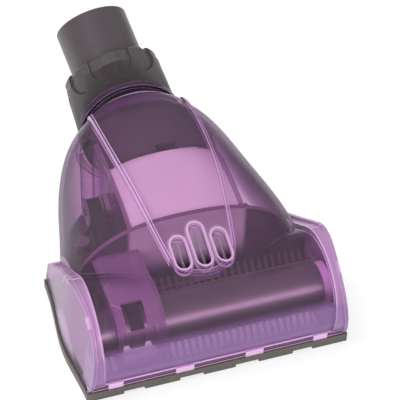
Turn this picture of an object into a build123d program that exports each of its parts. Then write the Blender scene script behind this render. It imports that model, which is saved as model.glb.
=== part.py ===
from build123d import *
import os
from math import sin, cos, radians, acos, atan2, hypot, pi

# Vacuum turbo brush with a see-through hood, an air turbine, a belt and a swivelling connector.
# Millimetres. +X is to the right, -Y is the front lip, +Z is up, and the floor is z = 0.
# The origin is on the sole, under the middle of the front lip.

# Sole and foot outline
sole_t = 5.0            # thickness of the sole plate, and height of the parting line
lip_half = 65.0         # half width of the foot at the front lip
cheek_half = 68.3       # half width of the foot at its widest, beside the brush
tail_half = 65.6        # half width of the foot at the back of the cheeks
tail_y = 75.0           # back end of the cheeks
tail_z = 13.0           # height of the cheek at its back end
cheek_draft = 6.0       # degrees, lean of the cheek faces
sole_lip = 0.7          # how far the sole stands out around the hood
lip_edge = 0.4          # sole in front of the tabs on the rail
lip_swell = 1.1         # foot wider than at the lip, at swell_y
swell_y = 8.0
cheek_y = 28.0          # place of the widest line of the foot
cheek_fall = 1.3        # foot narrower than at its widest, at fall_y
fall_y = 50.0
bite = 1.0              # how far joined forms reach into each other
sky = 90.0              # a height above everything

# Brush chamber
roll_y = 19.0           # brush axis
roll_z = 20.0
chamber_back = 2.0      # chamber centre behind the brush axis
chamber_r = 26.3        # outside of the roof over the brush
wall = 2.2              # moulded wall of the hood
band_w = 8.0            # hoop at each end of the roof
band_proud = 1.1
rim_w = 1.8             # raised outer rim of each hoop
rim_proud = 0.9

# Neck and swivel
neck_y = 146.0          # back face of the neck flange
neck_z = 35.0
neck_r = 28.8           # outside of the flange
flange_t = 3.6
waist_w = 6.0           # waist between dome and flange
waist_r = 26.9
swivel_r = 24.2         # bore of the neck, in which the elbow's spigot turns
swivel_gap = 0.3
face_gap = 0.4          # elbow to the flange's back face
spigot_y = 131.0        # front end of the spigot
spigot_bore_r = 20.2
ring_t = 2.4            # retaining ring
ring_r = 25.8
ring_groove = 1.7       # depth of its groove in the spigot
ring_split = 7.0
ring_play = 0.1         # ring in its groove, each way
seal_w = 2.2
seal_gap = 0.1
seal_in = 3.0           # seal behind the front end of the waist
seal_groove = 1.1       # depth of the seal's groove in the spigot
bend = 30.0             # degrees, tube axis above the neck axis
turn = -13.0            # degrees, elbow turned to the left about the neck axis
bend_y = 122.3          # the two axes cross here

# Elbow and tube, by distance along the tube axis from where the axes cross
tube_r = 19.5
tube_bore_r = 17.6
tube_gap = 0.3          # tube to the elbow's socket
tube_end = 77.0
tube_start = 43.9
tube_lip_w = 2.0        # lip that holds the tube in its socket
tube_lip = 1.4
elbow_foot_r = 27.6     # elbow's outside where it meets the flange
elbow_wall = 2.8        # end wall of the elbow behind the flange
elbow_floor = 0.2       # spigot bore deeper than the end wall
elbow_r = 26.1          # elbow's outside at the foot of the grips
elbow_lean = 0.6        # elbow narrower at the foot of its shoulder
shoulder_swell = 0.9
shoulder_drop = 1.5
grip_start = 43.0
grip_end = 50.0
grip_top_r = 22.4
grip_round = 4.0        # height of the shoulder
grips = 10
grip_w = 7.0
grip_depth = 1.4
grip_in = 12.0          # inner ends of the grips' cutters, from the tube's axis
grip_low = 37.2         # lower end of a grip

# Brush roll
drum_r = 11.9
drum_half = 56.6
bristle_r = 19.4
bristle_w = 2.4
bristle_root = 2.2      # depth of the strip's groove in the drum
strip_from_cover = 1.7
strip_end_gap = 0.4
fin_step = 12.0         # length of one twisted span of a strip
bristle_lead = 10.0     # degrees of twist along the drum
bristle_at = 45.0       # degrees above the rear horizontal, at mid length
shaft_r = 2.0
shaft_over = 5.2        # brush shaft past each end of the drum
running = 0.05          # radial clearance of shafts in bushes
seat = 0.03             # clearance of pushed-in pieces

# Belt drive
belt_x = -36.5          # middle of the belt
belt_w = 6.0
belt_t = 1.6
belt_gap = 0.3
track_r = 9.0           # belt track on the drum
pulley_r = 4.5
pulley_w = 7.6
pulley_flange_t = 0.8
pulley_flange_in = 0.4
pulley_flange_h = 2.6
track_w = 16.0

# Turbine
turbine_y = 87.0
turbine_z = 34.0
turbine_r = 20.5
turbine_half = 24.0
turbine_hub_r = 6.0
turbine_blades = 12
blade_t = 1.2
blade_bow = 2.8
blade_bite = 0.4
blade_short = 0.2
disc_t = 1.6
duct_half = 27.5        # inner faces of the duct's side walls
duct_t = 2.0
duct_gap = 2.0          # turbine tips to the duct's tray
tray_t = 1.5
tray_open = 0.62        # share of the tray's radius that stays open to the nozzle
bearing_r = 5.0
bearing_w = 4.0
bearing_wall = 2.5
duct_back_gap = 1.0     # duct walls to the hood's screw posts
lid_in = 4.5            # lid over the turbine, below the outside of the dome
lid_t = 1.6
guide_y = 90.0          # front edge of the air guide, where the lid ends
guide_t = 1.6
guide_notch = (-3.0, 8.0, 3.6)          # left, right and depth of the notch in its front edge
shaft_head = 2.0        # turbine shaft past the pulley and past the far bearing
shaft_tail = 1.0

# Panel and vents on the dome
panel_front = 16.0
panel_half_front = 16.5
panel_half_back = 25.8
panel_proud = 0.7
bead_w = 1.5
bead_proud = 1.6
bead_floor = 30.0       # beads and vents are cut above this height over the sole
vent_w = 5.0            # outside of a vent's bead, half of it each side
vent_edge = 0.3         # flat between a vent's bead and its opening
vent_bar = 1.0          # width of the bar along the middle of a vent
vent_bar_in = 1.2       # top of the bar below the outside of the dome
vent_pitch = 10.2

# Partition behind the brush and cover over the belt
partition_back = 29.3   # partition behind the brush axis
partition_t = 2.0
inner_gap = 0.3         # loose pieces to the inside of the hood
nozzle = (-16.5, 19.5, 8.5, 21.5)       # air window: left, right, bottom, top
belt_slot = 3.0         # room beside the belt in the partition
slot_margin = 2.0       # slot below the track and below the cover's top
cover_t = 1.5
cover_half = 11.5       # half width of the belt cover
cover_window = (-7.5, 3.0, 33.0, 75.0)  # from and to, beside the belt, and its angles above the front
cover_r = 21.8
cover_top = 40.0        # height of the cover at the partition
cover_bevel = (3.4, 2.2)                # width and depth of the bevel that clears the hood's side
cover_hole = 0.7        # cover to the drum

# Ends of the brush
cap_in = 0.8            # drum's end to its bearing cap
cap_t = 4.2
cap_r = 10.6
cap_foot = 9.0          # half width of its foot on the sole
bush_r = 4.0

# Mouth, strips, notches and fastenings in the sole
mouth_half = 57.0
mouth_ahead = 13.5      # mouth in front of and behind the brush axis
mouth_behind = 14.0
notch_z = 1.6
notches = [(-42.6, 10.3), (-14.0, 12.0), (14.0, 12.0), (42.6, 10.3)]    # middle and width
tabs = [(-51.5, 7.2), (-17.5, 9.0), (17.5, 9.0), (51.5, 7.2)]
rail_front = -3.0       # face of the rail along the front lip
rail_back = 3.0
rail_z = 3.4
tab_proud = 0.6
strip_back = 3.2        # lint strip behind the mouth
strip_fit = 0.1
strip_sunk = 0.3
strip_w = 5.0
strip_half = 50.0
strip_depth = 1.4
register_t = 1.5        # wall of the sole that stands inside the hood
register_z = 3.0
lock_x = 42.0           # coin locks
lock_y = 92.0
lock_head_r = 6.8
lock_head_t = 1.6
lock_sunk = 0.6
lock_shank_r = 4.1
lock_fit = 0.1
lock_room = 0.4
lock_head_room = 0.5
lock_head_play = 0.2
tongue = (7.0, 2.5, 2.0)        # reach, half width, height
tongue_z = 8.2
keeper_t = 2.2
keeper_gap = 0.5        # keeper to the lock's shank
keeper_len = 13.4
keeper_half = 6.0
coin_slot = (9.0, 1.6, 0.9)     # length, width, depth
screw_x = 32.0
screw_y = 116.0
screw_r = 1.4
screw_head_r = 3.0
screw_head_t = 1.8
screw_len = 12.0
screw_room = 0.2
screw_head_room = 0.3
screw_pilot = 2.0       # pilot hole deeper than the screw
cross_half = 2.0        # cross slot in the screw's head
cross_w = 0.8
cross_depth = 0.9
post_r = 3.6
post_room = 4.0

# Places that follow from the sizes above
chamber_y = roll_y + chamber_back
partition_y = roll_y + partition_back
mouth_front = roll_y - mouth_ahead
mouth_back = roll_y + mouth_behind
strip_y = mouth_back + strip_back
dome_end = neck_y - flange_t - waist_w
ring_y = dome_end - face_gap - ring_t
seal_y = dome_end + seal_in
duct_back = screw_y - post_r - duct_back_gap


def box(x0, x1, y0, y1, z0, z1):
    """A block from its lowest to its highest corner."""
    size = (x1 - x0, y1 - y0, z1 - z0)
    return Pos((x0 + x1) / 2, (y0 + y1) / 2, (z0 + z1) / 2) * Box(*size)


def rod_x(r, x0, x1, y, z):
    """A round bar along X."""
    return Pos((x0 + x1) / 2, y, z) * Rot(0, 90, 0) * Cylinder(r, x1 - x0)


def rod_y(r, y0, y1, x, z):
    """A round bar along Y."""
    return Pos(x, (y0 + y1) / 2, z) * Rot(90, 0, 0) * Cylinder(r, y1 - y0)


def rod_z(r, z0, z1, x, y):
    """A round bar along Z."""
    return Pos(x, y, (z0 + z1) / 2) * Cylinder(r, z1 - z0)


def signed_power(value, exponent):
    return abs(value) ** exponent * (1 if value >= 0 else -1)


def dome_section(y, half, middle, up, down, square, inset):
    """A closed round section of the dome, in the plane at y."""
    count = 24
    points = []
    for i in range(count):
        a = 2 * pi * i / count
        x = (half - inset) * signed_power(cos(a), 2 / square)
        rise = (up if sin(a) >= 0 else down) - inset
        points.append((x, y, middle + rise * signed_power(sin(a), 2 / square)))
    return Face(Wire([Edge.make_spline([Vector(*p) for p in points], periodic=True)]))


# Sections of the dome: y, half width, height of its widest line, rise above it, drop below it, squareness
dome_rows = [
    (11.0, 54.0, 8.0, 34.5, 12.0, 2.6),
    (25.0, 59.0, 8.0, 41.3, 12.0, 2.6),
    (45.0, 61.5, 8.0, 48.6, 12.0, 2.5),
    (62.0, 60.0, 8.0, 54.0, 12.0, 2.45),
    (80.0, 56.0, 9.0, 56.2, 13.0, 2.4),
    (100.0, 51.5, 12.0, 54.2, 14.0, 2.35),
    (117.0, 47.0, 18.0, 47.2, 17.0, 2.3),
    (129.0, 40.5, 27.0, 37.4, 23.0, 2.15),
    (dome_end, neck_r, neck_z, neck_r, neck_r, 2.0),
]


def dome(inset):
    return loft([dome_section(*row, inset) for row in dome_rows])


def foot_plan(inset, front):
    """Outline of the foot on the floor, bulging beside the brush."""
    side = [
        (lip_half - inset, front),
        (lip_half + lip_swell - inset, swell_y),
        (cheek_half - inset, cheek_y),
        (cheek_half - cheek_fall - inset, fall_y),
        (tail_half - inset, tail_y - inset),
    ]
    right = Spline([(x, y) for x, y in side])
    left = Spline([(-x, y) for x, y in side])
    ends = Line(side[0], (-side[0][0], side[0][1])) + Line(side[-1], (-side[-1][0], side[-1][1]))
    return make_face(right + left + ends)


def foot_profile(grow):
    """Side view of the brush chamber: a round roof that runs down to the back of the cheeks."""
    r = chamber_r + grow
    end_y = tail_y + grow
    end_z = tail_z + grow
    dy = end_y - chamber_y
    dz = end_z - roll_z
    angle = atan2(dz, dy) + acos(r / hypot(dy, dz))
    touch = (chamber_y + r * cos(angle), roll_z + r * sin(angle))
    roof = Pos(chamber_y, roll_z) * Circle(r)
    tail = make_face(Polyline((chamber_y, roll_z - r), (chamber_y, roll_z), touch, (end_y, end_z),
                              (end_y, roll_z - r), close=True))
    return Plane.YZ * (roof + tail)


def foot_block(inset, grow=0.0):
    """The chamber and its cheeks, above the parting line."""
    front = chamber_y - chamber_r - 4
    plan = Pos(0, 0, sole_t) * foot_plan(inset, front)
    prism = extrude(plan, amount=chamber_r + roll_z, taper=cheek_draft)
    return extrude(foot_profile(grow - inset), amount=cheek_half + 5, both=True) & prism


def above_sole(shape):
    return shape - box(-100, 100, -50, 300, -100, sole_t)


def cavity(inset):
    """The room inside the hood, drawn in by inset from its outside."""
    return above_sole(foot_block(inset) + dome(inset))


def panel_plan(inset):
    """Outline of the raised panel on the dome, seen from above."""
    grow = panel_half_back - panel_half_front
    side = [
        (panel_half_front - inset, panel_front + 10),
        (panel_half_front + 0.42 * grow - inset, panel_front + 32),
        (panel_half_front + 0.74 * grow - inset, panel_front + 56),
        (panel_half_front + 0.96 * grow - inset, panel_front + 80),
        (panel_half_back - inset, dome_end - 0.4),
    ]
    right = Spline(side)
    left = Spline([(-x, y) for x, y in side])
    nose = ThreePointArc(side[0], (0, panel_front + inset), (-side[0][0], side[0][1]))
    back = Line(side[-1], (-side[-1][0], side[-1][1]))
    return make_face(right + left + nose + back)


def column(face, low, high):
    """A flat outline made into a tall column."""
    return extrude(Pos(0, 0, low) * face, amount=high - low)


vents = [(-vent_pitch, 28.1, 19.0), (0.0, 30.4, 24.3), (vent_pitch, 28.1, 19.0)]     # x, y, length


def vent_plan(x, y, length, r):
    return Pos(x, y) * Rot(0, 0, 90) * SlotOverall(length - 2 * (vent_w - r), 2 * r)


def keeper_span(side, gap):
    """Near and far end, along X, of the keeper under a lock's tongue, with a gap to the lock's shank."""
    near = lock_x + lock_shank_r + gap
    return sorted((side * near, side * (lock_x + lock_shank_r + keeper_gap + keeper_len)))


def upper_hood():
    """The see-through hood, with its panel, vents, hoops, lip rail, neck and screw posts."""
    top = sole_t + bead_floor
    outside = above_sole(dome(0) + foot_block(0))
    hoops = above_sole(foot_block(0, band_proud))
    hoops -= box(band_w - lip_half, lip_half - band_w, -50, 150, 0, 100)
    rims = above_sole(foot_block(0, band_proud + rim_proud) - foot_block(rim_w, band_proud + 3))
    panel = dome(-panel_proud) & column(panel_plan(0), top, sky)
    lines = column(panel_plan(0), top, sky) - column(panel_plan(bead_w), top - bite, sky + bite)
    for x, y, length in vents:
        lines += column(vent_plan(x, y, length, vent_w), top, sky)
        lines -= column(vent_plan(x, y, length, vent_w - bead_w), top - bite, sky + bite)
    beads = dome(-bead_proud) & lines
    waist = rod_y(waist_r, dome_end - bite, neck_y - bite, 0, neck_z)
    flange = rod_y(neck_r, neck_y - flange_t, neck_y, 0, neck_z)
    rail = box(-lip_half, lip_half, rail_front, rail_back, sole_t, sole_t + rail_z)
    for x, w in tabs:
        rail += box(x - w / 2, x + w / 2, rail_front - tab_proud, rail_back, sole_t, sole_t + rail_z)
    shell = outside.fuse(hoops, rims, panel, beads, waist, flange, rail)
    hole_w = vent_w - bead_w - vent_edge
    holes = [column(vent_plan(x, y, length, hole_w), top, sky) for x, y, length in vents]
    throat = rod_y(swivel_r, dome_end - 5, neck_y + 5, 0, neck_z)
    shell = shell.cut(cavity(wall), throat, *holes)
    inside = Part()
    for side in (-1, 1):
        inside += rod_z(post_r, sole_t, sky, side * screw_x, screw_y)
        near, far = keeper_span(side, keeper_gap)
        low = tongue_z - keeper_t - lock_room
        inside += box(near, far, lock_y - keeper_half, lock_y + keeper_half, low, tongue_z - lock_room)
    inside &= above_sole(dome(wall / 2))
    bar_room = dome(vent_bar_in) - dome(wall)
    bars = []
    for x, y, length in vents:
        half = vent_bar / 2
        bars.append(box(x - half, x + half, y - length / 2, y + length / 2, top, sky) & bar_room)
    shell = shell.fuse(*inside.solids(), *bars)
    pilot = screw_len + screw_pilot
    return shell.cut(*[rod_z(screw_r + seat, 0, pilot, side * screw_x, screw_y) for side in (-1, 1)])


def register_block(inset):
    """A straight block that fits the hood's room from the parting line to the top of the register wall."""
    foot = foot_block(inset)
    cover = dome(inset)
    block = None
    for z, rise in ((sole_t, register_z), (sole_t + register_z, -register_z)):
        level = Plane.XY.offset(z)
        prism = extrude(section(foot, section_by=level) + section(cover, section_by=level), amount=rise)
        block = prism if block is None else block & prism
    return block


def sole_plate():
    """The dark sole: foot outline, mouth, front notches, strip groove, register wall and fastening holes."""
    front = rail_front - tab_proud - lip_edge
    plate = extrude(foot_plan(-sole_lip, front), amount=sole_t)
    floor_of_dome = section(dome(-sole_lip), section_by=Plane.XY.offset(sole_t))
    plate += extrude(floor_of_dome, amount=-sole_t)
    ring = register_block(wall + inner_gap) - register_block(wall + inner_gap + register_t)
    ring -= box(-100, 100, partition_y - inner_gap, partition_y + partition_t + inner_gap, 0, 100)
    ring -= box(-100, 100, screw_y - post_r - post_room, 300, 0, 100)
    for side in (-1, 1):
        near, far = keeper_span(side, lock_fit)
        half = keeper_half + lock_room
        ring -= box(near - lock_room, far + lock_room, lock_y - half, lock_y + half, 0, 100)
    plate += ring
    plate -= box(-mouth_half, mouth_half, mouth_front, mouth_back, -5, 50)
    for x, w in notches:
        plate -= box(x - w / 2, x + w / 2, -20, mouth_front + 1, -5, notch_z)
    plate -= box(-strip_half, strip_half, strip_y, strip_y + strip_w, -5, strip_depth)
    for side in (-1, 1):
        plate -= rod_z(lock_shank_r + lock_fit, -5, 20, side * lock_x, lock_y)
        plate -= rod_z(lock_head_r + lock_head_room, -5, lock_sunk + lock_head_t, side * lock_x, lock_y)
        plate -= rod_z(screw_r + screw_room, -5, 20, side * screw_x, screw_y)
        plate -= rod_z(screw_head_r + screw_head_room, -5, lock_sunk + screw_head_t, side * screw_x, screw_y)
    return plate


def partition():
    """Wall between the brush chamber and the turbine room, with the air window and the belt slot."""
    slab = box(-100, 100, partition_y, partition_y + partition_t, 0, 100)
    sheet = slab & cavity(wall + inner_gap)
    left, right, low, high = nozzle
    sheet -= box(left, right, 0, 100, low, high)
    half = belt_w / 2 + belt_slot
    slot_low = roll_z - track_r - slot_margin
    sheet -= box(belt_x - half, belt_x + half, 0, 100, slot_low, cover_top - slot_margin)
    return sheet


def belt_cover():
    """Cover in the brush chamber that keeps hair off the belt."""
    shape = Pos(chamber_y, roll_z) * Circle(cover_r)
    shape += Pos((chamber_y + partition_y) / 2, (sole_t + cover_top) / 2) * Rectangle(
        partition_y - chamber_y, cover_top - sole_t)
    solid = Pos(belt_x, 0, 0) * extrude(Plane.YZ * shape, amount=cover_half, both=True)
    room = Pos(chamber_y, roll_z) * Circle(cover_r - cover_t)
    room += Pos((chamber_y + partition_y) / 2 + 5, (sole_t + cover_top) / 2 - cover_t) * Rectangle(
        partition_y - chamber_y + 10, cover_top - sole_t)
    solid -= Pos(belt_x, 0, 0) * extrude(Plane.YZ * room, amount=cover_half - cover_t, both=True)
    left, right, low, high = cover_window
    near, far = (chamber_y - cover_r * cos(radians(angle)) for angle in (low, high))
    solid -= box(belt_x + left, belt_x + right, near, far, roll_z + cover_r * sin(radians(low)), sky)
    solid -= rod_x(drum_r + cover_hole, belt_x - 2 * cover_half, belt_x + 2 * cover_half, roll_y, roll_z)
    side_x = belt_x - cover_half
    across, down = cover_bevel
    corner = Polyline((side_x, cover_top - down), (side_x + across, cover_top), (side_x, cover_top + bite),
                      (side_x - bite, cover_top), (side_x, cover_top - down))
    solid -= extrude(Plane.XZ * make_face(corner), amount=sky, both=True)
    return solid - box(-100, 100, -20, partition_y - 0.01, -50, sole_t + bite)


def bearing_cap(side):
    """Block that carries a brush bush and stands on the sole."""
    x0, x1 = sorted((side * (drum_half + cap_in), side * (drum_half + cap_in + cap_t)))
    cap = rod_x(cap_r, x0, x1, roll_y, roll_z)
    cap += box(x0, x1, roll_y - cap_foot, roll_y + cap_foot, sole_t, roll_z)
    return cap - rod_x(bush_r + seat, x0 - 1, x1 + 1, roll_y, roll_z)


def bush(side):
    x0, x1 = sorted((side * (drum_half + cap_in), side * (drum_half + cap_in + cap_t)))
    return rod_x(bush_r, x0, x1, roll_y, roll_z) - rod_x(shaft_r + running, x0 - 1, x1 + 1, roll_y, roll_z)


def strip_fin(x0, x1, base_angle, r0, r1, half_w):
    """A twisted fin along the drum, from radius r0 to r1."""
    steps = max(2, round((x1 - x0) / fin_step))
    faces = []
    for i in range(steps + 1):
        x = x0 + (x1 - x0) * i / steps
        angle = base_angle + bristle_lead * (x / (2 * drum_half))
        place = Pos(x, roll_y, roll_z) * Rot(angle, 0, 0)
        outline = Plane.YZ * (Pos((r0 + r1) / 2, 0) * Rectangle(r1 - r0, 2 * half_w))
        faces.append(place * outline)
    return loft(faces, ruled=True)


track_x0 = belt_x - track_w / 2
track_x1 = belt_x + track_w / 2
strip_gap = cover_half + strip_from_cover
strip_spans = [(-drum_half, belt_x - strip_gap), (belt_x + strip_gap, drum_half)]
strip_starts = [bristle_at, bristle_at + 180]


def brush_drum():
    """Drum with a belt track and two twisted grooves for the bristle strips."""
    drum = rod_x(drum_r, -drum_half, drum_half, roll_y, roll_z)
    drum -= rod_x(50, track_x0, track_x1, roll_y, roll_z) - rod_x(track_r, track_x0, track_x1, roll_y, roll_z)
    drum -= rod_x(shaft_r + seat, -100, 100, roll_y, roll_z)
    for start in strip_starts:
        for x0, x1 in strip_spans:
            drum -= strip_fin(x0 - 1, x1 + 1, start, drum_r - bristle_root, drum_r + 4, bristle_w / 2 + seat)
    return drum


def belt_loop(grow):
    """Side view of the belt's line round both pulleys, swelled by grow."""
    r0 = track_r + belt_gap + grow
    r1 = pulley_r + belt_gap + grow
    dy = turbine_y - roll_y
    dz = turbine_z - roll_z
    away = hypot(dy, dz)
    lean = atan2(dz, dy)
    spread = acos((r0 - r1) / away)
    corners = []
    for centre, r, sign in ((roll_y, r0, 1), (turbine_y, r1, 1), (turbine_y, r1, -1), (roll_y, r0, -1)):
        height = roll_z if centre == roll_y else turbine_z
        a = lean + sign * spread
        corners.append((centre + r * cos(a), height + r * sin(a)))
    loop = make_face(Polyline(*corners, close=True))
    return loop + Pos(roll_y, roll_z) * Circle(r0) + Pos(turbine_y, turbine_z) * Circle(r1)


def drive_belt():
    line = belt_loop(belt_t) - belt_loop(0)
    return Pos(belt_x, 0, 0) * extrude(Plane.YZ * line, amount=belt_w / 2, both=True)


def turbine_wheel():
    """Air turbine: two discs, a hub and curved blades, moulded as one."""
    wheel = rod_x(turbine_hub_r, -turbine_half, turbine_half, 0, 0)
    r0 = turbine_hub_r - blade_bite
    r1 = turbine_r - blade_short
    middle = (r0 + r1) / 2
    inner = ThreePointArc((r0, 0), (middle, blade_bow), (r1, 0))
    outer = ThreePointArc((r0, blade_t), (middle, blade_bow + blade_t), (r1, blade_t))
    ends = Line((r0, 0), (r0, blade_t)) + Line((r1, 0), (r1, blade_t))
    blade = extrude(Plane.YZ * make_face(inner + outer + ends), amount=turbine_half - disc_t / 2, both=True)
    blades = [Rot(i * 360 / turbine_blades, 0, 0) * blade for i in range(turbine_blades)]
    wheel = wheel.fuse(*blades)
    for side in (-1, 1):
        x0, x1 = sorted((side * turbine_half, side * (turbine_half - disc_t)))
        wheel = wheel.fuse(rod_x(turbine_r, x0, x1, 0, 0))
    wheel -= rod_x(shaft_r + seat, -50, 50, 0, 0)
    return Pos(0, turbine_y, turbine_z) * wheel


def turbine_duct():
    """Channel round the turbine: two side walls with bearing seats and a curved tray."""
    r = turbine_r + duct_gap
    tray = rod_x(r + tray_t, -duct_half, duct_half, turbine_y, turbine_z)
    tray -= rod_x(r, -50, 50, turbine_y, turbine_z)
    tray -= box(-50, 50, 0, 200, turbine_z, 100)
    tray -= box(-duct_half + 1, duct_half - 1, 0, turbine_y - r * tray_open, nozzle[2], 100)
    duct = tray
    roof = dome(wall + inner_gap)
    for side in (-1, 1):
        x0, x1 = sorted((side * duct_half, side * (duct_half + duct_t)))
        plate = rod_x(r + tray_t, x0, x1, turbine_y, turbine_z)
        plate += box(x0, x1, partition_y + partition_t, duct_back, sole_t, sky) & roof
        b0, b1 = sorted((side * duct_half, side * (duct_half + bearing_w)))
        plate += rod_x(bearing_r + bearing_wall, b0, b1, turbine_y, turbine_z)
        plate -= rod_x(bearing_r + seat, b0 - 1, b1 + 1, turbine_y, turbine_z)
        duct += plate
    return duct


def dome_sheet(inset, thick, y0, y1):
    """A sheet between the duct's walls that follows the dome, from y0 to y1."""
    sheet = dome(inset) - dome(inset + thick)
    return sheet & box(-duct_half, duct_half, y0, y1, turbine_z, sky)


def turbine_lid():
    """Pale lid over the turbine, under the clear panel."""
    return dome_sheet(lid_in, lid_t, partition_y + partition_t, guide_y)


def air_guide():
    """Dark roof of the air channel, from the turbine to the neck."""
    guide = dome_sheet(wall + inner_gap, guide_t, guide_y, spigot_y - bite)
    left, right, depth = guide_notch
    return guide - box(left, right, guide_y - bite, guide_y + depth, 0, sky)


def turbine_bearing(side):
    x0, x1 = sorted((side * duct_half, side * (duct_half + bearing_w)))
    ring = rod_x(bearing_r, x0, x1, turbine_y, turbine_z)
    return ring - rod_x(shaft_r + running, x0 - 1, x1 + 1, turbine_y, turbine_z)


def turbine_pulley():
    half = pulley_w / 2
    out = pulley_flange_t - pulley_flange_in
    wheel = rod_x(pulley_r, belt_x - half, belt_x + half, turbine_y, turbine_z)
    for side in (-1, 1):
        x0, x1 = sorted((belt_x + side * (half + out), belt_x + side * (half - pulley_flange_in)))
        wheel += rod_x(pulley_r + pulley_flange_h, x0, x1, turbine_y, turbine_z)
    return wheel - rod_x(shaft_r + seat, belt_x - pulley_w, belt_x + pulley_w, turbine_y, turbine_z)


neck_dir = Vector(0, 1, 0)
tube_lift = sin(radians(bend))
tube_dir = Vector(tube_lift * sin(radians(turn)), cos(radians(bend)), tube_lift * cos(radians(turn)))
tube_frame = Plane(origin=(0, bend_y, neck_z), z_dir=tube_dir, x_dir=neck_dir.cross(tube_dir))


def tube_rod(r, t0, t1):
    """A round bar along the tube axis."""
    return tube_frame * Pos(0, 0, (t0 + t1) / 2) * Cylinder(r, t1 - t0)


def collar(inset):
    """Outside of the elbow behind the neck, or a form that is smaller by inset for the floors of its grips."""
    foot_plane = Plane(origin=(0, neck_y + face_gap, neck_z), z_dir=(0, 1, 0), x_dir=tube_frame.x_dir)
    foot = foot_plane * Circle(elbow_foot_r - inset)
    side_r = elbow_r - inset
    top_r = grip_top_r - inset
    shoulder = tube_frame * Pos(0, 0, grip_start) * Circle(side_r)
    height = grip_end - grip_start
    knee = (side_r - elbow_lean, height - grip_round)
    crown = ((side_r + top_r) / 2 + shoulder_swell, height - shoulder_drop)
    side = Polyline((0, 0), (side_r, 0), knee)
    round_top = ThreePointArc(knee, crown, (top_r, height))
    outline = make_face(side + round_top + Polyline((top_r, height), (0, height), (0, 0)))
    return loft([foot, shoulder]) + tube_frame * Pos(0, 0, grip_start) * revolve(Plane.XZ * outline, Axis.Z)


def swivel_elbow():
    """Elbow with grips that turns in the neck and holds the tube."""
    face_y = neck_y + face_gap
    body = collar(0)
    half = grip_w / 2
    grip = box(grip_in, elbow_r + 5, -half, half, grip_low + half, grip_end + 5)
    grip += rod_x(half, grip_in, elbow_r + 5, 0, grip_low + half)
    grip_cuts = [tube_frame * Rot(0, 0, i * 360 / grips) * grip for i in range(grips)]
    body -= grip_cuts[0].fuse(*grip_cuts[1:]) - collar(grip_depth)
    spigot_r = swivel_r - swivel_gap
    body += rod_y(spigot_r, spigot_y, face_y + bite, 0, neck_z)
    body -= rod_y(spigot_bore_r, spigot_y - bite, face_y + elbow_wall + elbow_floor, 0, neck_z)
    lip_r = tube_r + tube_lip + tube_gap
    room = tube_rod(lip_r, 0, tube_start + tube_lip_w + tube_gap)
    body -= room - box(-100, 100, -100, face_y + elbow_wall, -100, 200)
    body -= tube_rod(tube_r + tube_gap, tube_start, grip_end + 5)
    groove = rod_y(50, ring_y - ring_play, ring_y + ring_t + ring_play, 0, neck_z)
    body -= groove - rod_y(spigot_r - ring_groove, 0, 200, 0, neck_z)
    groove = rod_y(50, seal_y, seal_y + seal_w, 0, neck_z)
    body -= groove - rod_y(spigot_r - seal_groove, 0, 200, 0, neck_z)
    return body


def neck_ring():
    """Split ring that keeps the elbow in the neck."""
    ring = rod_y(ring_r, ring_y, ring_y + ring_t, 0, neck_z)
    ring -= rod_y(swivel_r - swivel_gap - ring_groove + ring_play, 0, 200, 0, neck_z)
    return ring - box(-ring_split / 2, ring_split / 2, 0, 200, -50, neck_z)


def neck_seal():
    ring = rod_y(swivel_r - seal_gap, seal_y + seal_gap, seal_y + seal_w - seal_gap, 0, neck_z)
    return ring - rod_y(swivel_r - swivel_gap - seal_groove + seal_gap, 0, 200, 0, neck_z)


def connector_tube():
    tube = tube_rod(tube_r, tube_start, tube_end)
    tube += tube_rod(tube_r + tube_lip, tube_start, tube_start + tube_lip_w)
    return tube - tube_rod(tube_bore_r, 0, tube_end + 10)


def coin_lock(side):
    """Quarter-turn lock: a slotted head under the sole and a tongue over the hood's keeper."""
    x, y = side * lock_x, lock_y
    lock = rod_z(lock_head_r, lock_sunk, lock_sunk + lock_head_t - lock_head_play, x, y)
    lock += rod_z(lock_shank_r, lock_sunk, tongue_z + tongue[2], x, y)
    near, far = sorted((x, x + side * tongue[0]))
    lock += box(near, far, y - tongue[1], y + tongue[1], tongue_z, tongue_z + tongue[2])
    return lock - box(x - coin_slot[0] / 2, x + coin_slot[0] / 2, y - coin_slot[1] / 2, y + coin_slot[1] / 2,
                      0, lock_sunk + coin_slot[2])


def rear_screws():
    screws = Part()
    for side in (-1, 1):
        x = side * screw_x
        screw = rod_z(screw_head_r, lock_sunk, lock_sunk + screw_head_t, x, screw_y)
        screw += rod_z(screw_r, lock_sunk, screw_len, x, screw_y)
        for reach, half in ((cross_half, cross_w / 2), (cross_w / 2, cross_half)):
            screw -= box(x - reach, x + reach, screw_y - half, screw_y + half, 0, lock_sunk + cross_depth)
        screws += screw
    return screws


def lint_strip():
    half = strip_half - strip_fit
    return box(-half, half, strip_y + strip_fit, strip_y + strip_w - strip_fit, strip_sunk, strip_depth)


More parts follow.
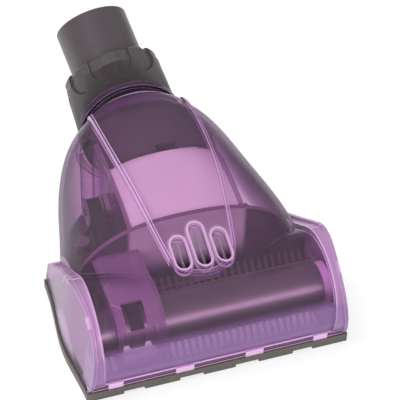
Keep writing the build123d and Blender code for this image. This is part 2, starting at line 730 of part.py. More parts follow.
turbine_ends = (belt_x - pulley_w / 2 - shaft_head, duct_half + bearing_w + shaft_tail)
nodes = {
    "sole_plate": sole_plate(),
    "chamber_partition": partition(),
    "belt_cover": belt_cover(),
    "drive_belt": drive_belt(),
    "brush_drum": brush_drum(),
    "brush_shaft": rod_x(shaft_r, -drum_half - shaft_over, drum_half + shaft_over, roll_y, roll_z),
    "turbine_wheel": turbine_wheel(),
    "turbine_shaft": rod_x(shaft_r, turbine_ends[0], turbine_ends[1], turbine_y, turbine_z),
    "turbine_pulley": turbine_pulley(),
    "turbine_duct": turbine_duct(),
    "turbine_lid": turbine_lid(),
    "air_guide": air_guide(),
    "swivel_elbow": swivel_elbow(),
    "neck_ring": neck_ring(),
    "neck_seal": neck_seal(),
    "connector_tube": connector_tube(),
    "rear_screws": rear_screws(),
    "lint_strip": lint_strip(),
}
for side, word in ((-1, "left"), (1, "right")):
    nodes["bearing_cap_" + word] = bearing_cap(side)
    nodes["brush_bush_" + word] = bush(side)
    nodes["turbine_bearing_" + word] = turbine_bearing(side)
    nodes["coin_lock_" + word] = coin_lock(side)
for start, row in zip(strip_starts, ("a", "b")):
    for (x0, x1), word in zip(strip_spans, ("short", "long")):
        ends = (x0 + strip_end_gap, x1 - strip_end_gap)
        fin = strip_fin(*ends, start, drum_r - bristle_root + running, bristle_r, bristle_w / 2)
        nodes["bristle_strip_" + word + "_" + row] = fin
nodes["upper_hood"] = upper_hood()

os.makedirs("parts", exist_ok=True)
for name, shape in nodes.items():
    export_step(shape, "parts/" + name + ".step")
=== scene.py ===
# %% [markdown]
# A small vacuum turbo brush: a see-through purple hood over a brush roll, a belt and an air turbine,
# with a dark swivel elbow and a round tube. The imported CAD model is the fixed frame, in metres.
# Everything that is added here is dressed around it.

# %% Load the frame
import math
import random
import bpy
from mathutils import Matrix, Vector


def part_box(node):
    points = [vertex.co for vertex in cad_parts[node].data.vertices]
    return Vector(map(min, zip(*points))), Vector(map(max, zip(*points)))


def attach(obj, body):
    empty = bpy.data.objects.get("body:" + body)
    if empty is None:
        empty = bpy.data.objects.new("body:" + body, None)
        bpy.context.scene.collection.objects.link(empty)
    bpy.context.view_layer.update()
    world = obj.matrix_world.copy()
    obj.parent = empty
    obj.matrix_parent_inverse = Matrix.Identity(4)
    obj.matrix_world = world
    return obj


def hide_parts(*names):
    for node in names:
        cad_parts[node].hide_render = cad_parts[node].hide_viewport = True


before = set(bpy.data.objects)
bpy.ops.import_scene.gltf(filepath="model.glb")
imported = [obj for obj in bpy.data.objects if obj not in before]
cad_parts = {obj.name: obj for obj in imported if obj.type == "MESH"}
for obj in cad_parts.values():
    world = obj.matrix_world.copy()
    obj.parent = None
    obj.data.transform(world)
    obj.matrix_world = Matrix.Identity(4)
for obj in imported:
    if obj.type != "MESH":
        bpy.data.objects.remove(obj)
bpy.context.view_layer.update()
mm = 0.001
scene = bpy.context.scene

# %% [markdown]
# The photograph was taken with a long lens, from about 42 degrees above the floor and 20 degrees to
# the left of the front. The camera is set by the angles that it looks along, its distance from the
# point that it looks at, and a small roll.

# %% Camera
view_azimuth = math.radians(-20)
view_elevation = math.radians(42)
view_roll = math.radians(-2)
view_distance = 740 * mm
look_at = Vector((18.5, 83.2, 30)) * mm
focal_pixels = 1450
frame_pixels = 400
sensor_width_mm = 36

flat = math.cos(view_elevation)
back = Vector((math.sin(view_azimuth) * flat, -math.cos(view_azimuth) * flat, math.sin(view_elevation)))
level = Vector((math.cos(view_azimuth), math.sin(view_azimuth), 0))
above = back.cross(level)
right = math.cos(view_roll) * level - math.sin(view_roll) * above
up = math.sin(view_roll) * level + math.cos(view_roll) * above

bpy.ops.object.select_all(action="DESELECT")
bpy.ops.object.camera_add()
camera = bpy.context.object
camera.name = "camera"
camera.data.sensor_width = sensor_width_mm
camera.data.lens = sensor_width_mm * focal_pixels / frame_pixels
camera.data.clip_start = 0.05
camera.data.clip_end = 20
pose = Matrix((right, up, back)).transposed().to_4x4()
pose.translation = look_at + back * view_distance
camera.matrix_world = pose
scene.camera = camera
print("Camera lens in mm:", round(camera.data.lens, 1))

# %% [markdown]
# The lamps: a large soft one above and to the left, a long one in front, a weaker one from the right
# and a strip behind. The first and the last would leave a square patch on the dome, where the photo
# has none, so they are left out of reflections. The brush has a lamp of its own: light linking keeps
# it off the hood, and it gives the soft band of light along the drum.

# %% Lamps
def area_lamp(name, place, size, watts, target=(0, 0.08, 0.02)):
    """A rectangular lamp of the given size that faces the target, all in metres."""
    bpy.ops.object.select_all(action="DESELECT")
    bpy.ops.object.light_add(type="AREA", location=place)
    lamp = bpy.context.object
    lamp.name = name
    lamp.data.shape = "RECTANGLE"
    lamp.data.size, lamp.data.size_y = size
    lamp.data.energy = watts
    aim = Vector(target) - Vector(place)
    lamp.rotation_mode = "QUATERNION"
    lamp.rotation_quaternion = aim.to_track_quat("-Z", "Y")
    return lamp


key = area_lamp("key_lamp", (-0.45, 0.10, 1.00), (0.7, 0.7), 9.5)
key.visible_glossy = False
area_lamp("front_lamp", (-0.35, -0.95, 0.42), (0.9, 0.3), 6.0)
area_lamp("right_lamp", (0.85, -0.35, 0.60), (0.6, 0.6), 2.4)
rear = area_lamp("rear_strip", (0.25, 0.95, 0.70), (0.9, 0.3), 3.5)
rear.visible_glossy = False
brush_lamp = area_lamp("brush_lamp", (0.30, -0.95, 0.50), (0.6, 0.35), 6.0)
brush_only = bpy.data.collections.new("brush_only")
brush_only.objects.link(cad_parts["brush_drum"])
brush_lamp.light_linking.receiver_collection = brush_only
scene.view_settings.view_transform = "Standard"

# %% [markdown]
# Shader maths reads best as sums. A Socket wraps the output of a node, and its operators add the Math
# nodes. Each operator that a bare number can start, such as 1 - mask, has its reflected form too.

# %% Socket
class Socket:
    """One output of a shader node, usable in sums."""

    def __init__(self, recipe, output):
        self.recipe = recipe
        self.output = output

    def maths(self, operation, *values):
        return self.recipe.node("ShaderNodeMath", {"operation": operation}, *values)

    def __add__(self, other):
        return self.maths("ADD", self, other)

    __radd__ = __add__

    def __sub__(self, other):
        return self.maths("SUBTRACT", self, other)

    def __rsub__(self, other):
        return self.maths("SUBTRACT", other, self)

    def __mul__(self, other):
        return self.maths("MULTIPLY", self, other)

    __rmul__ = __mul__

    def __pow__(self, other):
        return self.maths("POWER", self, other)

    def size(self):
        return self.maths("ABSOLUTE", self)

    def at_least(self, low):
        return self.maths("MAXIMUM", self, low)

    def between(self, low, high):
        """0 below low, 1 above high, and a smooth step from one to the other."""
        settings = {"interpolation_type": "SMOOTHSTEP"}
        return self.recipe.node("ShaderNodeMapRange", settings, self, low, high, 0.0, 1.0)

    def band(self, low, high, soft):
        """1 from low to high, and 0 outside, with soft ends."""
        return self.between(low - soft, low + soft) * (1 - self.between(high - soft, high + soft))


print("Operators ready")

# %% [markdown]
# A Recipe is one material. Its node method adds any node from its type, the settings that are made
# first, and the values or links of its sockets. The other methods are the pieces that the finishes
# share: places on the object, noise, streaks, mixes, a mask of the edges, and bump.

# %% Recipe
class Recipe:
    """A material and the nodes that feed it."""

    def __init__(self, name):
        self.material = bpy.data.materials.new(name)
        self.material.use_nodes = True
        self.tree = self.material.node_tree
        self.skin = self.tree.nodes["Principled BSDF"]
        self.result = self.tree.nodes["Material Output"]

    def node(self, kind, settings, *values, output=0, **named):
        """Adds a node. Values go to its sockets in order, and named ones by name, with _ for a space."""
        made = self.tree.nodes.new(kind)
        for key, value in settings.items():
            setattr(made, key, value)
        for socket, value in zip(made.inputs, values):
            self.feed(socket, value)
        for key, value in named.items():
            self.feed(made.inputs[key.replace("_", " ")], value)
        return Socket(self, made.outputs[output])

    def feed(self, socket, value):
        """Links a socket to a Socket, or sets its constant. None leaves it alone."""
        if isinstance(value, Socket):
            self.tree.links.new(value.output, socket)
        elif value is not None:
            socket.default_value = value

    def set(self, **values):
        """Sets or links sockets of the Principled shader, such as Base_Color."""
        for key, value in values.items():
            self.feed(self.skin.inputs[key.replace("_", " ")], value)
        return self

    def skin_shader(self):
        return Socket(self, self.skin.outputs[0])

    def show(self, shader):
        """Makes a shader the surface of the material."""
        self.tree.links.new(shader.output, self.result.inputs["Surface"])
        return self

    def dress(self, piece):
        """Gives a piece this material alone."""
        piece.data.materials.clear()
        piece.data.materials.append(self.material)

    def place(self):
        return self.node("ShaderNodeTexCoord", {}, output="Object")

    def axis(self, vector, number):
        """One coordinate of a vector: 0, 1 or 2."""
        return self.node("ShaderNodeSeparateXYZ", {}, vector, output=number)

    def millimetres(self):
        """The three coordinates of a point of the piece, in millimetres."""
        place = self.place()
        return [self.axis(place, number) * 1000 for number in range(3)]

    def facing_up(self):
        """1 on the faces of a piece that look upward, and 0 on its sides."""
        return self.axis(self.node("ShaderNodeTexCoord", {}, output="Normal"), 2).between(0.45, 0.65)

    def noise(self, size, detail=3.0, rough=0.5, place=None):
        """Noise from 0 to 1 whose blobs are about size metres across."""
        spot = place or self.place()
        return self.node("ShaderNodeTexNoise", {}, Vector=spot, Scale=1 / size, Detail=detail,
                         Roughness=rough)

    def stretched(self, scale, rotation=(0, 0, 0)):
        """The place on the piece, scaled unevenly, so that noise at it comes out as streaks."""
        return self.node("ShaderNodeMapping", {}, Vector=self.place(), Rotation=rotation, Scale=scale)

    def mix_colour(self, amount, first, second):
        made = self.tree.nodes.new("ShaderNodeMix")
        made.data_type = "RGBA"
        for number, value in ((0, amount), (6, first), (7, second)):
            self.feed(made.inputs[number], value)
        return Socket(self, made.outputs[2])

    def mix_shader(self, amount, first, second):
        return self.node("ShaderNodeMixShader", {}, amount, first, second)

    def edges(self, reach):
        """0 on a smooth face, and more within reach metres of an edge, where rounded normals turn."""
        rounded = self.node("ShaderNodeBevel", {"samples": 4}, reach)
        straight = self.node("ShaderNodeNewGeometry", {}, output="Normal")
        settings = {"operation": "DOT_PRODUCT"}
        return 1 - self.node("ShaderNodeVectorMath", settings, rounded, straight, output="Value")

    def bump(self, height, depth, strength=1.0, normal=None):
        """A bump from a height field of 0 to 1, depth metres deep, over the given normal."""
        self.set(Normal=self.node("ShaderNodeBump", {}, Strength=strength, Distance=depth,
                                  Height=height, Normal=normal))


def paint(red, green, blue):
    """A colour given as it looks on a screen, 0 to 255, made linear for the shader."""
    def linear(value):
        value /= 255
        return value / 12.92 if value <= 0.04045 else ((value + 0.055) / 1.055) ** 2.4
    return (linear(red), linear(green), linear(blue), 1.0)


print("Screen grey 128 in linear light:", round(paint(128, 128, 128)[0], 3))

# %% [markdown]
# The world is white where the camera looks at it, straight or through clear plastic, and a dimmer
# white for all other light. The kind of the ray tells the two apart.

# %% World
dim_world, white_world = 0.42, 1.0
world = bpy.data.worlds.new("studio_world")
scene.world = world
world.use_nodes = True
sky_tree = world.node_tree
sky = sky_tree.nodes["Background"]
rays = sky_tree.nodes.new("ShaderNodeLightPath")
seen = sky_tree.nodes.new("ShaderNodeMath")
seen.operation = "MAXIMUM"
sky_tree.links.new(rays.outputs["Is Camera Ray"], seen.inputs[0])
sky_tree.links.new(rays.outputs["Is Transmission Ray"], seen.inputs[1])
level_of_light = sky_tree.nodes.new("ShaderNodeMapRange")
sky_tree.links.new(seen.outputs[0], level_of_light.inputs["Value"])
level_of_light.inputs["To Min"].default_value = dim_world
level_of_light.inputs["To Max"].default_value = white_world
sky_tree.links.new(level_of_light.outputs[0], sky.inputs["Strength"])
sky.inputs["Color"].default_value = (1, 1, 1, 1)
print("World strength:", dim_world, "to", white_world)

# %% [markdown]
# A plain floor takes the shadow of the part. To the camera a share of plain white is mixed in, so
# that the floor looks as white as the photo's background and the shadow stays soft.

# %% Floor
floor_drop = 0.4 * mm
white_share = 0.72
bpy.ops.object.select_all(action="DESELECT")
bpy.ops.mesh.primitive_circle_add(vertices=96, radius=3, fill_type="NGON", location=(0, 0, -floor_drop))
floor = bpy.context.object
floor.name = "studio_floor"
floor_paint = Recipe("floor_white")
floor_paint.set(Base_Color=(0.93, 0.93, 0.93, 1), Roughness=0.9, Specular_IOR_Level=0.1)
glow = floor_paint.node("ShaderNodeEmission", {}, (1, 1, 1, 1), 1.0)
camera_ray = floor_paint.node("ShaderNodeLightPath", {}, output="Is Camera Ray")
floor_paint.show(floor_paint.mix_shader(camera_ray * white_share, floor_paint.skin_shader(), glow))
floor_paint.dress(floor)
print("Floor:", floor.name)

# %% [markdown]
# The hood is a tinted, clear moulding. Real refraction would darken everything behind two curved walls
# and needs many samples, so each face lets light straight through with a lilac tint. The tint deepens
# where a wall is seen edge on, as it does in a real moulding, because more plastic lies on the way.
# A little haze of purple is mixed in, and a mirror gloss grows towards grazing angles on top. Light
# that runs along inside the walls comes out at their edges, so those get a painted highlight in bright
# lilac.

# %% Clear plastic
class ClearPlastic(Recipe):
    """A see-through finish in layers, each mixed over the ones before."""

    def __init__(self, name, light, deep, haze_colour, haze):
        super().__init__(name)
        cloud = self.noise(0.045, 2.0)
        lines = self.stretched((1.0, 9.0, 3.0), rotation=(0.3, 0.2, 0.7))
        self.scratch = self.noise(0.006, 3.0, 0.6, place=lines).between(0.68, 0.76)
        self.facing = self.node("ShaderNodeLayerWeight", {}, Blend=0.5, output="Facing")
        self.set(Base_Color=self.mix_colour(cloud, haze_colour, light), Roughness=0.25 + 0.1 * cloud)
        self.bump(self.noise(0.02, 1.0), 0.00025, 0.4)
        tint = self.mix_colour(self.facing.between(0.25, 0.98) * 0.95 + cloud * 0.05, light, deep)
        window = self.node("ShaderNodeBsdfTransparent", {}, tint)
        hazy = haze + 0.10 * self.facing ** 3 + 0.05 * self.scratch
        self.body = self.mix_shader(hazy, window, self.skin_shader())

    def layer(self, mask, colour, roughness=0.3):
        """Covers the body with a solid colour where mask is 1."""
        cover = self.node("ShaderNodeBsdfPrincipled", {}, colour, Roughness=roughness)
        self.body = self.mix_shader(mask, self.body, cover)

    def finish(self, glint):
        """Adds a painted highlight in bright lilac on the edges, and the mirror gloss, and closes the
        material.
        """
        # Painted highlight: a bright lilac on the edges, as strong as glint says.
        self.layer(self.edges(0.0006).between(0.06, 0.3) * glint, paint(232, 196, 234), 0.2)
        gloss = self.node("ShaderNodeBsdfAnisotropic", {}, Roughness=0.12)
        share = 0.018 + 0.42 * self.facing ** 5 + 0.02 * self.scratch
        return self.show(self.mix_shader(share, self.body, gloss))


clear_wall = ClearPlastic("clear_wall", paint(250, 240, 250), paint(186, 146, 192),
                          paint(180, 130, 186), haze=0.05)
clear_wall.layer(clear_wall.facing_up() * 0.5, paint(150, 118, 152), 0.35)
clear_wall.finish(glint=0.6)
print("Nodes in the clear wall:", len(clear_wall.tree.nodes))

# %% [markdown]
# Some places of the hood get painted highlights, where they would catch the light more than the rest,
# and painted shade, where they look deep. They are found by their place in millimetres, from the same
# sizes as the CAD model has. First the top: the beads that run along the panel and round its nose, and
# the ones round the three vents.

# %% Hood: panel and vents
hood = ClearPlastic("clear_purple", paint(246, 231, 245), paint(120, 70, 128),
                    paint(150, 96, 160), haze=0.035)
across, along, height = hood.millimetres()
sideways = across.size()
highlight_lilac = paint(228, 184, 230)
lit_pale_pink = paint(214, 168, 218)
violet = paint(126, 78, 138)


def distance(first, second):
    """How far a point is from an axis, from its two coordinates off that axis."""
    return (first * first + second * second) ** 0.5


bead_width = 1.5
on_top = height.between(33, 36)
panel_half = 10.7 + 0.25 * along - 0.00101 * along * along
from_edge = panel_half - sideways
bead_sides = along.band(26, 138, 0.5) * on_top
bead_highlights = from_edge.band(-0.1, 0.3, 0.15) + from_edge.band(1.2, 1.6, 0.15)
lit_side = 0.35 + 0.35 * (1 - across.between(-3, 3))
nose_y = 34.6
nose_shade = distance(across, along - nose_y).band(17.0, 18.8, 0.25) * along.band(10, 26, 0.5) * on_top
# Painted shade in violet along each bead and round the panel's nose, then painted highlights in lilac
# along both edges of each bead, stronger on the left, the lit side.
hood.layer(from_edge.band(0, bead_width, 0.25) * bead_sides * 0.35, violet)
hood.layer(nose_shade * 0.3, violet)
hood.layer(bead_highlights * bead_sides * lit_side, highlight_lilac)

vent_radius = 5.0
vents = ((-10.2, 28.1, 19.0), (0.0, 30.4, 24.3), (10.2, 28.1, 19.0))
# Each vent gets a ring of painted highlight in lilac.
for x, y, length in vents:
    past_straight = ((along - y).size() - (length / 2 - vent_radius)).at_least(0)
    rim_highlight = distance(across - x, past_straight).band(vent_radius - bead_width, vent_radius - 0.5, 0.25)
    hood.layer(rim_highlight * on_top * 0.5, highlight_lilac)
print("Nodes after the panel and vents:", len(hood.tree.nodes))

# %% [markdown]
# Then the ends: painted light makes the outer rim and the hoop beside it pale, a painted highlight runs
# along the hoop's inner edge, two thin ribs and a small block are drawn only as painted highlights, and
# painted shade fills the slot between hoop and rim. The last three lie on the outer skin, at angles round
# the axis of the brush chamber.

# %% Hood: hoops
chamber_y, chamber_z = 21, 20
degrees = 57.3
turn = height.maths("ARCTAN2", height - chamber_z, along - chamber_y) * degrees
outer_skin = distance(along - chamber_y, height - chamber_z).between(25.4, 25.8)
hoop = sideways.between(57.2, 57.6) * height.between(10, 14)
hoop_edge_highlight = sideways.band(57.2, 57.8, 0.15) * height.between(12, 16) * along.band(-20, 52, 2)
hoop_skin = sideways.band(57.6, 65.8, 0.2) * outer_skin
ribs = (along.band(38.2, 38.9, 0.3) + along.band(32.4, 33.1, 0.3)) * height.between(30, 32)
block = sideways.between(60.5, 60.8) * turn.band(118, 130, 0.4)
slot_shade = sideways.band(65.0, 66.2, 0.2) * turn.band(80, 156, 1.0) * outer_skin
# Painted light in pale pink on the outer rim and the hoop, painted highlights in lilac on the hoop's
# inner edge and the ribs, a pale pink painted highlight on the block, and painted shade in violet in the
# slot.
hood.layer(sideways.between(66.2, 67.0) * height.band(9, 60, 1) * 0.30, lit_pale_pink)
hood.layer(hoop * 0.32, lit_pale_pink)
hood.layer(hoop_edge_highlight * 0.5, highlight_lilac)
hood.layer(hoop_skin * ribs * 0.6, highlight_lilac)
hood.layer(hoop_skin * block * 0.4, lit_pale_pink)
hood.layer(slot_shade * 0.5, violet)
print("Nodes after the hoops:", len(hood.tree.nodes))

# %% [markdown]
# Last the front and the neck: the thick front wall is a deep violet, the lip rail is dark with painted
# highlights along it and four pale blocks of painted light, and the groove of the neck is painted black
# as shade between a painted highlight line and the flange, with a band of painted shade above the neck.

# %% Hood: front, rail and neck
deep_front = height.band(8.6, 28, 2.5) * 0.66 + height.band(8.6, 16, 2) * 0.14
hood.layer((1 - along.between(3, 6)) * deep_front, paint(128, 84, 146))

rail = (1 - along.between(-2.0, -1.0)) * height.band(4.9, 8.7, 0.1)
rail_highlights = height.between(7.8, 8.1) + (1 - height.between(5.3, 5.6))
# The rail is dark, with painted highlights along its top and bottom edges and four blocks of painted
# light where light comes through it.
hood.layer(rail * 0.85, paint(96, 56, 98))
hood.layer(rail * rail_highlights * 0.9, highlight_lilac)
for x, width in ((-51.5, 7.2), (-17.5, 9.0), (17.5, 9.0), (51.5, 7.2)):
    block = (across - x).band(-width / 2, width / 2, 0.2)
    hood.layer(rail * block * 0.9, paint(222, 178, 222))

neck_z = 35
off_axis = distance(across, height - neck_z)
groove = along.band(135.6, 142.5, 0.15) * (1 - off_axis.between(28.2, 28.5))
neck_highlight = along.band(134.7, 135.4, 0.15) * off_axis.between(27, 28)
neck_shade = along.band(126, 134.6, 2.0) * off_axis.between(25, 27) * height.between(40, 50)
flange_edge = along.between(142.3, 142.7) * off_axis.band(26, 28.4, 0.2)
# Painted shade: the groove near black, and a band above the neck. Painted highlight: a lilac line before
# the groove.
hood.layer(groove * 0.95, paint(30, 20, 30), 0.25)
hood.layer(neck_highlight * 0.6, highlight_lilac)
hood.layer(neck_shade * 0.45, paint(92, 52, 98), 0.25)
hood.layer(flange_edge * 0.6, violet)
hood.finish(glint=0.65)
print("Nodes in the hood's material:", len(hood.tree.nodes))

# %% [markdown]
# The opaque plastics share one build: a base colour with a slow drift, a fine moulded grain, and faint
# rubbed streaks that are a little lighter and glossier. Moulded edges are never knife sharp, so the
# Bevel node bends the normals within half a millimetre of an edge, which gives each edge its glint.

# %% Opaque plastics
def plastic(name, colour, lighter, roughness, grain=0.0006, depth=0.00004, specular=0.5):
    """A moulded plastic. Grain is the size and depth the height of its texture, in metres."""
    made = Recipe(name)
    drift = made.noise(0.03, 3.0)
    grains = made.noise(grain, 3.0, 0.6)
    streaks = made.stretched((1.0, 7.0, 2.0), rotation=(0.5, 0.1, 0.4))
    rubbed = made.noise(0.01, 4.0, 0.6, place=streaks).between(0.58, 0.76)
    made.set(Base_Color=made.mix_colour(drift * 0.6 + rubbed * 0.35, colour, lighter),
             Roughness=roughness + 0.08 * drift + 0.06 * grains - 0.07 * rubbed,
             Specular_IOR_Level=specular)
    made.bump(grains, depth, 0.7, made.node("ShaderNodeBevel", {"samples": 4}, 0.5 * mm))
    return made


smooth = 0.00001
sole_black = plastic("sole_black", paint(80, 74, 69), paint(100, 93, 87), 0.42)
elbow_grey = plastic("elbow_grey", paint(62, 57, 59), paint(84, 78, 81), 0.34)
tube_grey = plastic("tube_grey", paint(64, 57, 61), paint(82, 74, 78), 0.32)
drum_black = plastic("drum_black", paint(50, 42, 48), paint(62, 52, 60), 0.4, depth=smooth, specular=0.9)
drum_black.set(Coat_Weight=1.0, Coat_Roughness=0.36, Coat_IOR=1.9)
inner_dark = plastic("inner_dark", paint(70, 52, 68), paint(84, 66, 82), 0.5, depth=smooth, specular=0.25)
pale_lid = plastic("pale_lid", paint(222, 216, 218), paint(238, 232, 234), 0.4, depth=smooth)
cap_lilac = plastic("cap_lilac", paint(196, 160, 198), paint(216, 182, 218), 0.35)
turbine_grey = plastic("turbine_grey", paint(96, 82, 98), paint(120, 104, 122), 0.3)
lock_grey = plastic("lock_grey", paint(118, 112, 116), paint(138, 132, 136), 0.38)
rubber_black = plastic("rubber_black", paint(36, 34, 36), paint(52, 50, 52), 0.6, 0.0004, 0.00006, 0.3)
bristle_brown = plastic("bristle_brown", paint(96, 84, 88), paint(130, 116, 118), 0.55,
                        0.0004, 0.00003, 0.3)
felt_red = plastic("felt_red", paint(120, 60, 92), paint(150, 86, 118), 0.9, 0.0003, 0.0001, 0.1)
print("Nodes in one plastic:", len(sole_black.tree.nodes))

# %% [markdown]
# The partition has painted light, pale where the lit duct stands behind it, and painted shade, dark
# towards the ends of the chamber.
# Its top edge, which faces up, is a mid violet.

# %% Partition
partition_tone = plastic("partition_tone", paint(96, 70, 94), paint(112, 84, 110), 0.4)
wall_x, _, wall_z = partition_tone.millimetres()
# Painted light in the middle, where the lit duct stands behind, and painted shade towards the ends.
lit = (1 - wall_x.size().between(28, 31)) * wall_z.between(20, 34)
pale = partition_tone.mix_colour(lit, paint(84, 60, 82), paint(214, 200, 212))
wall_colour = partition_tone.mix_colour(partition_tone.facing_up(), pale, paint(120, 84, 118))
partition_tone.set(Base_Color=wall_colour)
print("Nodes in the partition:", len(partition_tone.tree.nodes))

# %% [markdown]
# The metals are brushed along the part's width: a fine noise, drawn out along X, varies the colour and
# the roughness and bends the normal a little.

# %% Metals
def metal(name, colour, roughness):
    made = Recipe(name)
    lines = made.noise(0.001, 4.0, 0.6, place=made.stretched((0.15, 6.0, 6.0)))
    made.set(Base_Color=made.mix_colour(lines * 0.4, colour, (0.9, 0.9, 0.9, 1)),
             Roughness=roughness + 0.15 * lines, Metallic=1.0)
    made.bump(lines, 0.00002, 0.6)
    return made


steel = metal("steel", paint(190, 190, 194), 0.25)
bronze = metal("bronze", paint(186, 140, 92), 0.35)
print("Metals:", steel.material.name, bronze.material.name)

# %% [markdown]
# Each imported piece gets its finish. Only the material of a CAD piece is changed, never its mesh.

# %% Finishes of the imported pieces
pieces_by_finish = (
    (hood, ["upper_hood"]),
    (clear_wall, ["belt_cover", "turbine_duct"]),
    (partition_tone, ["chamber_partition"]),
    (pale_lid, ["turbine_lid"]),
    (inner_dark, ["air_guide"]),
    (sole_black, ["sole_plate"]),
    (elbow_grey, ["swivel_elbow"]),
    (tube_grey, ["connector_tube"]),
    (drum_black, ["brush_drum"]),
    (turbine_grey, ["turbine_wheel"]),
    (lock_grey, ["turbine_pulley", "coin_lock_left", "coin_lock_right"]),
    (cap_lilac, ["bearing_cap_left", "bearing_cap_right"]),
    (rubber_black, ["drive_belt", "neck_seal"]),
    (steel, ["rear_screws", "brush_shaft", "turbine_shaft", "neck_ring"]),
    (bronze, ["turbine_bearing_left", "turbine_bearing_right", "brush_bush_left", "brush_bush_right"]),
    (felt_red, ["lint_strip"]),
    (bristle_brown, ["bristle_strip_short_a", "bristle_strip_long_a",
                     "bristle_strip_short_b", "bristle_strip_long_b"]),
)
finishes = {name: finish for finish, names in pieces_by_finish for name in names}
for name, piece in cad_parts.items():
    finishes[name].dress(piece)
print("Packed pieces with a finish:", len(finishes))

# %% [markdown]
# A few helpers for modelling. Every operator works on what is selected, so each helper deselects
# everything first.

# %% Modelling helpers
def start_fresh(adder, **where):
    """Runs one of the primitive operators with nothing else selected, and gives the new object."""
    bpy.ops.object.select_all(action="DESELECT")
    adder(**where)
    return bpy.context.object


def settle(piece):
    """Moves an object's place, turn and scale into its mesh, so that it sits at the origin."""
    bpy.ops.object.select_all(action="DESELECT")
    piece.select_set(True)
    bpy.context.view_layer.objects.active = piece
    bpy.ops.object.transform_apply(location=True, rotation=True, scale=True)


def joined(pieces, name):
    """Joins pieces into one object with a name."""
    bpy.ops.object.select_all(action="DESELECT")
    for piece in pieces:
        piece.select_set(True)
    bpy.context.view_layer.objects.active = pieces[0]
    bpy.ops.object.join()
    whole = bpy.context.object
    whole.name = name
    settle(whole)
    return whole


def own_copy(piece, matrix):
    """A copy of a piece with a mesh of its own, moved by a matrix."""
    made = piece.copy()
    made.data = piece.data.copy()
    made.data.transform(matrix)
    scene.collection.objects.link(made)
    return made


def soften(piece, width, segments, **settings):
    """Bevels the edges of a piece and applies the modifier."""
    soft = piece.modifiers.new("soft_edges", "BEVEL")
    soft.width = width
    soft.segments = segments
    for key, value in settings.items():
        setattr(soft, key, value)
    bpy.ops.object.modifier_apply(modifier="soft_edges")


print("Modelling helpers ready")

# %% [markdown]
# The brush strips. A real one is a twisted plastic root that slides into a groove of the drum, with
# nylon tufts set in it. The CAD strip is a plain fin, so a root and its tufts stand for it. One bristle
# is a five-sided cone that tapers to its tip, and one tuft is a bundle of bristles, five inside and
# eleven round them, that lean a little apart.

# %% Bristle and tuft
roll_y, roll_z = 19.0 * mm, 20.0 * mm
drum_half, drum_r = 56.6 * mm, 11.9 * mm
bristle_tip_r, root_r = 19.4 * mm, 9.8 * mm
bristle_length = bristle_tip_r - drum_r
inner_bristles, outer_bristles = 5, 11
spread = 0.6

chance = random.Random(7)
bristles = []
for number in range(inner_bristles + outer_bristles):
    ring = 0 if number < inner_bristles else 1
    around = math.tau * number / (outer_bristles if ring else inner_bristles)
    root = Vector((math.cos(around), math.sin(around), 0)) * (0.25 + 0.38 * ring) * mm
    length = bristle_length * chance.uniform(0.93, 0.985)
    hair = start_fresh(bpy.ops.mesh.primitive_cone_add, vertices=5, radius1=0.13 * mm,
                       radius2=0.07 * mm, depth=length, location=(0, 0, length / 2))
    settle(hair)
    stray = Vector((chance.uniform(-0.03, 0.03), chance.uniform(-0.03, 0.03), 0))
    lean = Vector((root.x * spread, root.y * spread, 1)) + stray
    turned = Vector((0, 0, 1)).rotation_difference(lean.normalized()).to_matrix().to_4x4()
    hair.data.transform(Matrix.Translation(root) @ turned)
    bristles.append(hair)
tuft = joined(bristles, "tuft")
print("Faces in one tuft:", len(tuft.data.polygons))

# %% [markdown]
# Each strip: its root is a bar that is cut into short lengths and twisted by its place along the drum,
# with rounded long edges, and the tufts stand on it about every 3.4 mm.

# %% Brush strips
twist = math.radians(10)
strip_width = 2.3 * mm
strip_lift = 0.4 * mm
tuft_pitch = 3.4 * mm
end_margin = 1.2 * mm
long_strip = 20 * mm


def on_drum(x, start):
    """Stands something that points up +Z on the brush axis, at x, on a strip that starts at an angle."""
    angle = start + twist * x / (2 * drum_half)
    upright = Matrix.Rotation(angle - math.pi / 2, 4, "X")
    return Matrix.Translation((x, roll_y, roll_z)) @ upright


def strip_bar(x0, x1, start):
    """The root of a strip, from x0 to x1, twisted about the brush axis."""
    middle = ((x0 + x1) / 2, 0, (root_r + drum_r + strip_lift) / 2)
    bar = start_fresh(bpy.ops.mesh.primitive_cube_add, size=1, location=middle)
    bar.scale = (x1 - x0, strip_width, drum_r - root_r + strip_lift)
    settle(bar)
    bpy.ops.object.mode_set(mode="EDIT")
    bpy.ops.mesh.select_all(action="SELECT")
    bpy.ops.mesh.subdivide(number_cuts=24 if x1 - x0 > long_strip else 4)
    bpy.ops.object.mode_set(mode="OBJECT")
    soften(bar, 0.25 * mm, 2, limit_method="ANGLE")
    for corner in bar.data.vertices:
        x, y, z = corner.co
        corner.co = on_drum(x, start) @ Vector((0, y, z))
    return bar


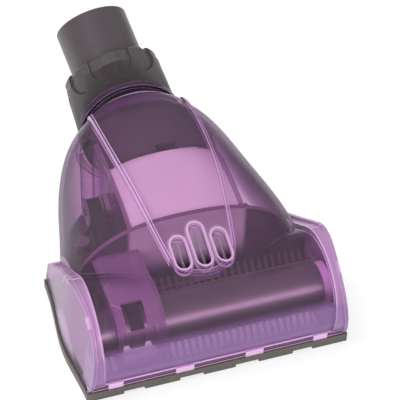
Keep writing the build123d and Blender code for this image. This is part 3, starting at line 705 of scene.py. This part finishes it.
def brush_strip(name, start):
    """A strip with its tufts, which stands for the CAD strip of the given name."""
    low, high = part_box(name)
    x0, x1 = low[0], high[0]
    parts = [strip_bar(x0, x1, start)]
    count = max(2, round((x1 - x0) / tuft_pitch))
    step = (x1 - x0 - 2 * end_margin) / (count - 1)
    for number in range(count):
        x = x0 + end_margin + number * step
        spin = Matrix.Rotation(chance.uniform(0, math.tau), 4, "Z")
        parts.append(own_copy(tuft, on_drum(x, start) @ Matrix.Translation((0, 0, drum_r)) @ spin))
    strip = joined(parts, name.replace("strip", "tufts"))
    bristle_brown.dress(strip)
    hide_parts(name)
    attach(strip, "brush")
    return strip


for row, start in (("a", math.radians(45)), ("b", math.radians(225))):
    for length in ("short", "long"):
        strip = brush_strip("bristle_strip_" + length + "_" + row, start)
        print(strip.name, "faces:", len(strip.data.polygons))
bpy.data.objects.remove(tuft)

# %% [markdown]
# The lint strip is a short pile on a backing, under the sole. The backing is a block with rounded
# edges, and the pile is a field of small three-sided hairs that all lean a little backwards.

# %% Lint strip
pad_low, pad_high = (Vector(corner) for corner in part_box("lint_strip"))
pad_size = pad_high - pad_low
pile = min(0.8 * mm, pad_size.z * 0.4)
middle = (pad_low + pad_high) / 2 + Vector((0, 0, pile / 2))
backing = start_fresh(bpy.ops.mesh.primitive_cube_add, size=1, location=middle)
backing.scale = (pad_size.x, pad_size.y, pad_size.z - pile)
settle(backing)
soften(backing, 0.3 * mm, 3)

hair = start_fresh(bpy.ops.mesh.primitive_cone_add, vertices=3, radius1=0.16 * mm,
                   radius2=0.05 * mm, depth=pile)
settle(hair)
side_margin, end_margin = 0.4 * mm, 0.6 * mm
rows = 5
columns = int(pad_size.x / (0.9 * mm))
field_x, field_y = pad_size.x - 2 * end_margin, pad_size.y - 2 * side_margin
hair_z = pad_low.z + pile * 0.56
parts = [backing]
for row in range(rows):
    for column in range(columns):
        x = pad_low.x + end_margin + field_x * (column + chance.uniform(0.2, 0.8)) / columns
        y = pad_low.y + side_margin + field_y * (row + chance.uniform(0.2, 0.8)) / rows
        lean = Matrix.Rotation(math.pi + chance.uniform(-0.25, 0.05), 4, "X")
        parts.append(own_copy(hair, Matrix.Translation((x, y, hair_z)) @ lean))
pad = joined(parts, "lint_pile")
bpy.data.objects.remove(hair)
felt_red.dress(pad)
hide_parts("lint_strip")
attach(pad, "root")
print("Faces in the lint strip:", len(pad.data.polygons))
